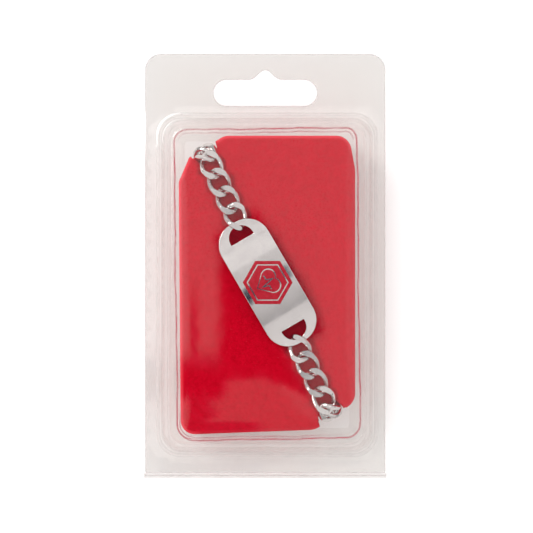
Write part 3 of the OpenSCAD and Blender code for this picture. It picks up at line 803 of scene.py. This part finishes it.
def flange_section(foot_y):
    return section(-PACK_W / 2, PACK_W / 2, foot_y, PACK_H / 2, FOOT_CORNER_R, FLANGE_R)


def swell(near):
    """The rise of a face at a distance from its edge."""
    most, reach = 0.13, 2.6
    return most * (1 - np.exp(-near / reach))


def wall_rows(inset, z, top, edge_r):
    """Rows up a wall and onto a face: each an inset, a level and the strength of the pale line painted on its
    edge.
    """
    up = 1 if top > z else -1
    lean = (abs(top - z) - edge_r) * math.tan(math.radians(DRAFT))
    foot = [(inset - 0.3, z, 0), (inset - 0.08, z, FOOT_PAINTED_LINE), (inset, z, FOOT_PAINTED_LINE),
            (inset + 0.05, z + up * 0.25, 0)]
    bend = [(inset + lean + edge_r * (1 - cos(t)), top - up * edge_r * (1 - sin(t)), 0)
            for t in (*range(0, 54, 9), *range(54, 91, 3))]
    edge = bend[-1][0]
    return foot + bend + [(edge + d, top + up * float(swell(d)), 0) for d in EDGE_STEPS]


def lit_corner(verts):
    """Where a white highlight is painted on the bent edges: round the blister's corner that is nearest to the
    lamp.
    """
    inset, nearest, farthest, middle, spread = 8, 4, 16, 143, 42
    away = verts[:, :2] - [BLISTER_X - BLISTER_W / 2 + inset, BLISTER_Y + BLISTER_H / 2 - inset]
    turn = np.degrees(np.arctan2(away[:, 1], away[:, 0]))
    far = np.linalg.norm(away, axis=1)
    return np.clip(1.3 - np.abs(turn - middle) / spread, 0, 1) * (far > nearest) * (far < farthest)


def edge_line():
    """The line round the front face where the pad's red reflection is painted, a little uneven. Each corner
    has its place and its radius.
    """
    corners = [(27.16, 40.95, 3.4), (-27.05, 40.35, 4.2), (-26.0, -51.7, 5.2), (28.1, -50.9, 4.0)]
    around = [arc(x - math.copysign(r, x), y - math.copysign(r, y), r, 90 * i, 90 * i + 90, 40)
              for i, (x, y, r) in enumerate(corners)]
    line = np.concatenate([np.concatenate([here, np.linspace(here[-1], after[0], 400)[1:-1]])
                           for here, after in zip(around, around[1:] + around[:1])])
    run = np.linspace(0, 2 * math.pi, len(line), endpoint=False)
    wave = 0.10 * np.sin(7 * run + 0.6) + 0.07 * np.sin(17 * run + 2.1) + 0.05 * np.sin(41 * run)
    return line + inward(line) * wave[:, None]


def painted_reflection_share(points):
    """How much painted red reflection of the pad the front face's edge has at points: a thin line, and a
    fainter one inside it in places.
    """
    line, batch, d = edge_line(), 400, np.zeros(len(points))
    sides = inward(line)
    for i in range(0, len(points), batch):
        away = points[i:i + batch, None] - line[None]
        near = (away ** 2).sum(2).argmin(1)
        d[i:i + batch] = (away[np.arange(len(away)), near] * sides[near]).sum(1)
    x, y = points.T
    first_w, second_w = 0.24, 0.3
    first = np.clip(1.25 - np.abs(d) / first_w, 0, 1)
    gap = np.where(y > 0, 1.05, 0.8)
    second = np.clip(1 - np.abs(d - gap) / second_w, 0, 1)
    second *= 0.55 * soft_step(-y, 44, 10) * soft_step(-x, -14, 24) + 0.6 * soft_step(y, 38, 4)
    return np.maximum(first, second)


def step_rows(inset, z_0, z_1, r_0, r_1):
    """Rows up a ledge's riser between two levels, with round edges at its foot and its top."""
    # each row's third value: a pale line painted on the bend, strongest halfway round
    turns = [(t, max(0, 1 - abs(t - 45) / 35)) for t in np.linspace(0, 90, 6)]
    return ([(inset - r_0 * (1 - sin(t)), z_0 + r_0 * (1 - cos(t)), painted_line) for t, painted_line in turns]
            + [(inset + r_1 * (1 - cos(t)), z_1 - r_1 * (1 - sin(t)), painted_line) for t, painted_line in turns])


def hang_loop():
    """The hanging slot's outline, clockwise."""
    y0 = PACK_H / 2 - HANG_DROP - HANG_H / 2
    end_x, r = (HANG_W - HANG_H) / 2, HANG_H / 2
    bump_y = HANG_H / 2 + HANG_BUMP - HANG_BUMP_R
    foot = HANG_FOOT_W / 2
    top = arc(0, bump_y, HANG_BUMP_R, 140, 40, 14)
    # a curve from the slot's straight side to its bump, drawn by four points
    a, b = np.array([-foot - 1.1, r]), np.array([-foot - 0.1, r])
    c, d = top[0] - [0.95, 1.15], top[0] - [0.45, 0.45]
    left = np.array([(1 - t) ** 3 * a + 3 * (1 - t) ** 2 * t * b + 3 * (1 - t) * t ** 2 * c + t ** 3 * d
                     for t in np.linspace(0, 1, 7)])
    loop = np.concatenate([arc(-end_x, 0, r, 270, 90, 24), left, top, left[::-1] * [-1, 1],
                           arc(end_x, 0, r, 90, -90, 24)])
    return loop + [0, y0]


def shell(name, body, node, outer, inner, foot_y, z_out, z_in, extra=None):
    """A clear half: a skin outside and one inside, joined by the flange's edge and the slot's.
    outer and inner are the skins' rows from the flange to the face."""
    skin = Skin()
    add = skin.add
    up = 1 if z_out > z_in else -1
    rims = (flange_section(foot_y), hang_loop())
    edges = {}
    for key, rows, z in (("out", outer, z_out), ("in", inner, z_in)):
        flip = (key == "out") != (up > 0)
        shapes = [blister_section(inset) for inset, _, _ in rows]
        rings = [add(shape, *row[1:]) for shape, row in zip(shapes, rows)]
        for a, b in zip(rings, rings[1:]):
            skin.faces += band(a, b, len(shapes[0]), flip)
        face, level, start = shapes[-1], rows[-1][1], EDGE_STEPS[-1]
        lo, hi = face.min(0), face.max(0)

        def face_z(x, y):
            near = np.minimum(np.minimum(x - lo[0], hi[0] - x), np.minimum(y - lo[1], hi[1] - y))
            return level + up * (swell(start + near) - swell(start))

        skin.fill([face], [rings[-1]], flip, face_z, grid=1.6, margin=0.8)
        loops, starts, edges[key] = [], [], []
        for loop in rims:
            first = add(loop, z, 1)
            # pale lines painted along the flange's and the slot's edges
            near = [add(loop + inward(loop) * d, z, painted_line)
                    for d, painted_line in ((FLANGE_LINE, FLANGE_PAINTED_LINE), (FLANGE_INSET, 0))]
            for a, b in zip([first] + near, near):
                skin.faces += band(a, b, len(loop), flip)
            loops.append(loop + inward(loop) * FLANGE_INSET)
            starts.append(near[-1])
            edges[key].append(first)
        skin.fill(loops + [shapes[0]], starts + [rings[0]], flip, lambda x, y: z, grid=3.0, margin=1.2)
    for a, b, loop in zip(edges["in"], edges["out"], rims):
        skin.faces += band(a, b, len(loop), up < 0)
    verts, faces, marks = np.concatenate(skin.verts), skin.faces, np.concatenate(skin.marks)
    if extra:
        more, more_faces = extra
        faces += [tuple(i + len(verts) for i in f) for f in more_faces]
        verts = np.concatenate([verts, more])
        marks = np.concatenate([marks, np.full(len(more), BEAD_PAINTED_LINE)])
    # painted red reflection of the pad, as a line round the front face's edge
    painted_red_line, drop, inset = np.zeros(len(verts)), 3, 6.5
    near_face = (verts[:, 2] > PACK_D - drop) & (blister_depth(verts) < inset)
    painted_red_line[near_face] = painted_reflection_share(verts[near_face, :2])
    # a painted white highlight on the bends round the corner nearest the lamp, on the lid only
    lit = np.clip(1.35 * marks, 0, 1) * lit_corner(verts) * (body == "lid")
    piece(name, verts, faces, CLEAR, SHEET_FOLD, body, [node],
          {"painted_pad_reflection": painted_red_line, "painted_bend_lines": marks, "painted_corner_highlight": lit})


def bead():
    """The folded bead: a hollow tube along the folded end."""
    n, m, reach = 28, 25, PACK_W / 2 + BEAD_OVER
    verts, faces = [], []
    for r in (BEAD_D / 2, BEAD_D / 2 - SHEET):
        ring = arc(FOLD_Y, FOLD_Z, r, 0, 360, n)[:-1]
        verts += [np.column_stack([np.full(n, x), ring]) for x in np.linspace(-reach, reach, m)]
    for inner in (0, 1):
        for i in range(m - 1):
            a = (inner * m + i) * n
            tube = band(a, a + n, n, True)
            faces += tube if inner else [f[::-1] for f in tube]
    for i in (0, m - 1):
        end = band(i * n, (i + m) * n, n)
        faces += end if i else [f[::-1] for f in end]
    return np.concatenate(verts), faces


def build_pack():
    inner_r = FACE_EDGE_R - SHEET
    lip = SHEET + LEDGE_GAP - LEDGE_W
    top = BACK_D + LEDGE_H
    low, high = BACK_D - SHEET, top - SHEET
    outer = step_rows(lip + SHEET, low, high, WIDE_R, TIGHT_R)
    outer += wall_rows(BOWL_INSET - SHEET, high, 0, FACE_EDGE_R)
    inner = step_rows(lip, BACK_D, top, TIGHT_R, WIDE_R) + wall_rows(BOWL_INSET, top, SHEET, inner_r)
    shell("clear_back", "pack", "back_shell", outer, inner, FOLD_Y + BEAD_D / 2, low, BACK_D, bead())
    foot = BACK_D + LID_GAP
    top = foot + LEDGE_H
    low, high = foot + SHEET, top + SHEET
    outer = step_rows(-LEDGE_W, low, high, TIGHT_R, LEDGE_R) + wall_rows(0, high, PACK_D, FACE_EDGE_R)
    inner = step_rows(SHEET - LEDGE_W, foot, top, WIDE_R, TIGHT_R)
    inner += wall_rows(SHEET, top, PACK_D - SHEET, inner_r)
    shell("clear_front", "lid", "front_shell", outer, inner, FOLD_Y + BEAD_D / 2 + LID_GAP, low, foot)


build_chain()
build_plate()
build_clasp()
build_pad()
build_pack()


# ---------------------------------------------------------------- floor, light and camera
# These places are in metres, but the ceiling's card is laid out in mm of the face that reflects it.
FLOOR_REACH, FLOOR_DROP = 3, 0.0001
LAMP_PLACE = (-0.85, 0.6, 0.9)
CAMERA_X, CAMERA_Y, CAMERA_RISE, VIEW_W, SENSOR_W = 0.36 * MM, -0.15 * MM, 1.0, 0.1599, 36
CEILING_Z, CARD_X, CARD_Y, CARD_STEPS = 1.25, 150, 250, (180, 300)


def along_plate(x, y):
    """A point's place along the plate, from its upper end to its lower one, and across it, to the right."""
    dx, dy = x - PLATE_X, y - PLATE_Y
    return dx * sin(PLATE_TURN) - dy * cos(PLATE_TURN), dx * cos(PLATE_TURN) + dy * sin(PLATE_TURN)


def ceiling_light(x, y):
    """How bright the room above looks in the flat face, at a point of it in mm. The plate, being bowed,
    shows ten times as much of the room along its length."""
    a, b = along_plate(x, y)
    # the room, brighter beyond the plate's ends and round the pack's rim
    room = 1.2 - 0.28 * soft_step(a, -80, 4)
    room = room - 0.34 * np.clip((a - 30) / 77, 0, 1) ** 1.5 * (a < 109)
    lower = soft_step(a, 108.5 - 0.010 * (b + 8) ** 2, 2.5)
    room = np.where(a > 100, room * (1 - lower) + 1.06 * lower, room)
    room += 0.12 * soft_step(a, 150, 60)
    off_plate = soft_step(np.abs(b), 20, 6)
    room += 0.45 * soft_step(np.maximum(-x - 40, y - 72), 0, 12) * off_plate
    room += 0.25 * soft_step(np.abs(x - 0.5), 36, 6) * off_plate
    room -= 0.13 * soft_step(a, -146, 4) * soft_drop(a, -136, 6)
    room -= 0.10 * soft_drop(a, -175, 12)
    # a dark stand with uneven edges on the plate's left, and its foot further left
    foot = 33.2 + 0.35 * np.maximum(x + 1, 0) + 0.35 * np.sin(0.9 * x)
    left_foot = 39.5 + 0.7 * np.sin(0.7 * x) + 0.4 * np.sin(1.7 * x + 1)
    stand = soft_step(x, -14.0 + 0.25 * np.sin(0.8 * y), 3.0) * soft_step(y, -foot, 1.8)
    stand = stand * soft_drop(y, 24, 4) * soft_drop(b, -6.4, 0.8)
    base = soft_drop(x, -12, 4) * soft_drop(y, -27, 12) * soft_step(y, -left_foot, 5)
    # a mottled column beside them
    column = soft_drop(x, -16 + 1.2 * np.sin(0.5 * y), 7) * soft_drop(y, -29, 14)
    column = np.maximum(column, soft_drop(x, -23 + np.sin(0.9 * y), 5) * soft_drop(y, -8, 20) * 0.8)
    column = column * soft_step(x, -32, 3) * (0.8 + 0.2 * np.sin(1.1 * y + 0.8 * x))
    # the camera, across the plate, and something dark below the pad
    wide = np.abs(b) + 99 * ((a > 21) & (b > -5))
    across = soft_step(a, -20, 2.5) * soft_drop(a, 36, 3) * soft_drop(wide, 8.2, 0.8) * 0.84
    under = soft_step(x, -26, 5) * soft_drop(x, -2, 6) * soft_drop(y, -54, 3) * 0.7
    dark = np.max([stand, base, column, across, under], 0) * soft_step(y, -90, 6)
    below = soft_drop(y, -foot, 2) * (np.abs(b) > 12)
    return np.maximum(room * (1 - dark) * (1 - 0.33 * below), 0.01)


def build_ceiling(camera, face_z):
    """A glowing card over the camera that only reflections see, bluish where it is dim. A point of the face
    reflects the card at the place that its own coordinates give."""
    reach = (CEILING_Z - face_z) / (camera.z - face_z)
    n_x, n_y = CARD_STEPS
    gx, gy = np.meshgrid(np.linspace(-CARD_X, CARD_X, n_x), np.linspace(-CARD_Y, CARD_Y, n_y))
    wide_x, wide_y = gx * (1 + reach) * MM - camera.x * reach, gy * (1 + reach) * MM - camera.y * reach
    verts = np.stack([wide_x, wide_y, np.full_like(gx, CEILING_Z)], 2).reshape(-1, 3)
    faces = [(j * n_x + i, (j + 1) * n_x + i, (j + 1) * n_x + i + 1, j * n_x + i + 1)
             for j in range(n_y - 1) for i in range(n_x - 1)]
    mesh = bpy.data.meshes.new("ceiling")
    mesh.from_pydata(verts.tolist(), [], faces)
    add_mark(mesh, "glow", ceiling_light(gx, gy).reshape(-1))
    made, m = new_material("ceiling")
    glow = m.mark("glow")
    tint = m.node("ShaderNodeValToRGB", {"Fac": glow})
    stops = ((0.30, (0.55, 0.62, 1.0, 1)), (0.55, (1.0, 0.99, 0.995, 1)))
    for stop, (position, colour) in zip(tint.color_ramp.elements, stops):
        stop.position, stop.color = position, colour
    m.put(m.out, m.shader("Emission", Color=tint.outputs["Color"], Strength=glow))
    mesh.materials.append(made)
    obj = add_object("ceiling", mesh)
    obj.visible_camera = obj.visible_diffuse = obj.visible_shadow = obj.visible_transmission = False


def build_floor():
    reach = FLOOR_REACH
    mesh = bpy.data.meshes.new("floor")
    mesh.from_pydata([(-reach, -reach, 0), (reach, -reach, 0), (reach, reach, 0), (-reach, reach, 0)],
                     [], [(0, 1, 2, 3)])
    floor = add_object("floor", mesh)
    floor.location.z = -FLOOR_DROP
    made, m = new_material("floor")
    m.put(m.out, m.shader("BsdfPrincipled", Base_Color=(0.72, 0.72, 0.72, 1), Roughness=0.9,
                          Specular_IOR_Level=0.0, Emission_Color=WHITE, Emission_Strength=0.26))
    mesh.materials.append(made)


def build_world():
    """Even light from all round, which reflections see as walls that fade towards the floor."""
    world = bpy.data.worlds.new("studio")
    m = Nodes(world, "ShaderNodeOutputWorld")
    height = m.node("ShaderNodeSeparateXYZ", {0: m.direction}).outputs["Z"]
    walls = m.shader("Background", Color=WHITE, Strength=m.ramp(height, 0.05, 0.65, 0.22))
    even = m.shader("Background", Color=WHITE, Strength=1.0)
    glossy = m.node("ShaderNodeLightPath").outputs["Is Glossy Ray"]
    m.put(m.out, m.mix_shader(glossy, even, walls))
    bpy.context.scene.world = world


def lamp(name, width, depth, watts):
    light = bpy.data.lights.new(name, "AREA")
    light.shape, light.size, light.size_y, light.energy = "RECTANGLE", width, depth, watts
    obj = add_object(name, light)
    obj.location = LAMP_PLACE
    obj.rotation_euler = (-obj.location).to_track_quat("-Z", "Y").to_euler()
    return obj


def build_camera():
    data = bpy.data.cameras.new("camera")
    data.sensor_width, data.lens = SENSOR_W, SENSOR_W * CAMERA_RISE / VIEW_W
    data.clip_start, data.clip_end = 0.05, 20
    camera = add_object("camera", data)
    camera.location = (CAMERA_X, CAMERA_Y, FOLD_Z * MM + CAMERA_RISE)
    bpy.context.scene.camera = camera
    return camera


build_floor()
build_world()
lamp("key", width=0.4, depth=0.4, watts=7.5)
streak = lamp("streak", width=1.5, depth=0.3, watts=7.0)
streak.visible_camera = streak.visible_diffuse = streak.visible_transmission = False
build_ceiling(build_camera().location, PACK_D * MM)
scene = bpy.context.scene
scene.view_settings.view_transform = "Standard"
scene.cycles.transparent_max_bounces = 32
scene.cycles.max_bounces = 24
scene.cycles.glossy_bounces = 16
